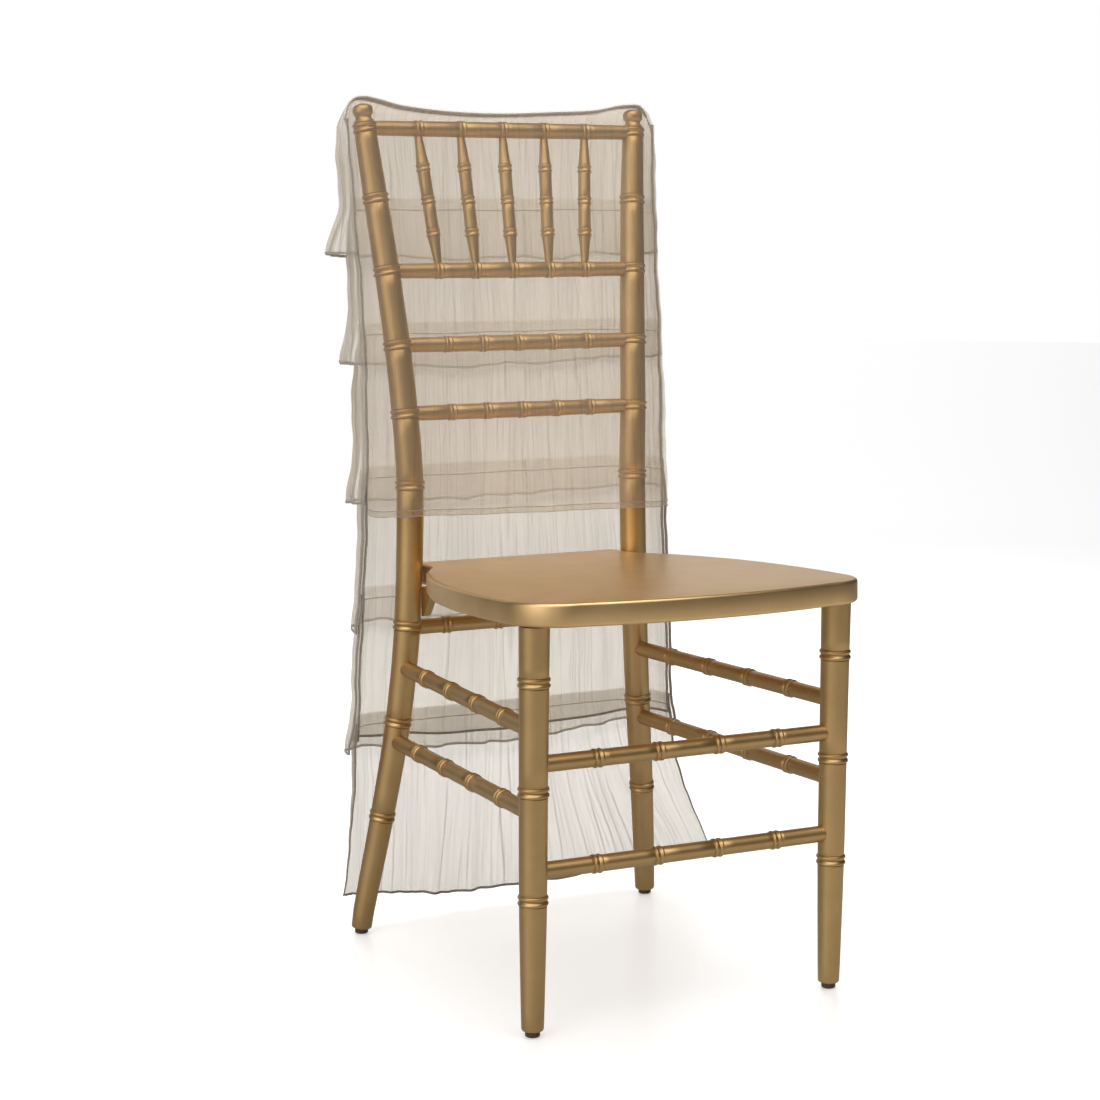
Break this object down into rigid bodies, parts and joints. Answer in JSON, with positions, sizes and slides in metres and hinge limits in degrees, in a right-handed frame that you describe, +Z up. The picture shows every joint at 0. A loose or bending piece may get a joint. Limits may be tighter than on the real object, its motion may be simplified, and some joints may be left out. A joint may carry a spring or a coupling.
{
  "type": "tiered chair back cover on a ballroom chair",
  "caption": "Sheer sleeve cover with stacked crinkled flounces down its back, worn on the back of a turned wooden ballroom chair with a flat seat.",
  "frame": {"origin": "on the floor, under the middle of the whole box", "axes": "+Z up, the chair faces -Y, +X is to the right for someone looking along +Y"},
  "size_m": [0.4992, 0.5288, 0.9298],
  "materials": {
    "gold_paint": "satin metallic gold paint over turned wood",
    "dark_glide": "matt brown plastic",
    "sheer_fabric": "sheer crinkled voile in warm taupe, with overlocked edges"
  },
  "bodies": {
    "root": {"back_panel": "sheer_fabric", "back_post_left": "gold_paint", "back_post_right": "gold_paint", "back_rail_1": "gold_paint", "back_rail_2": "gold_paint", "back_rail_3": "gold_paint", "back_stretcher": "gold_paint", "crest_rail": "gold_paint", "flounce_1": "sheer_fabric", "flounce_2": "sheer_fabric", "flounce_3": "sheer_fabric", "flounce_4": "sheer_fabric", "flounce_5": "sheer_fabric", "flounce_6": "sheer_fabric", "front_leg_left": "gold_paint", "front_leg_right": "gold_paint", "front_panel": "sheer_fabric", "front_stretcher_lower": "gold_paint", "front_stretcher_upper": "gold_paint", "glide_back_left": "dark_glide", "glide_back_right": "dark_glide", "glide_front_left": "dark_glide", "glide_front_right": "dark_glide", "seat": "gold_paint", "seat_bracket_left": "gold_paint", "seat_bracket_right": "gold_paint", "side_stretcher_left_lower": "gold_paint", "side_stretcher_left_upper": "gold_paint", "side_stretcher_right_lower": "gold_paint", "side_stretcher_right_upper": "gold_paint", "spindle_1": "gold_paint", "spindle_2": "gold_paint", "spindle_3": "gold_paint", "spindle_4": "gold_paint", "spindle_5": "gold_paint"}
  },
  "joints": []
}
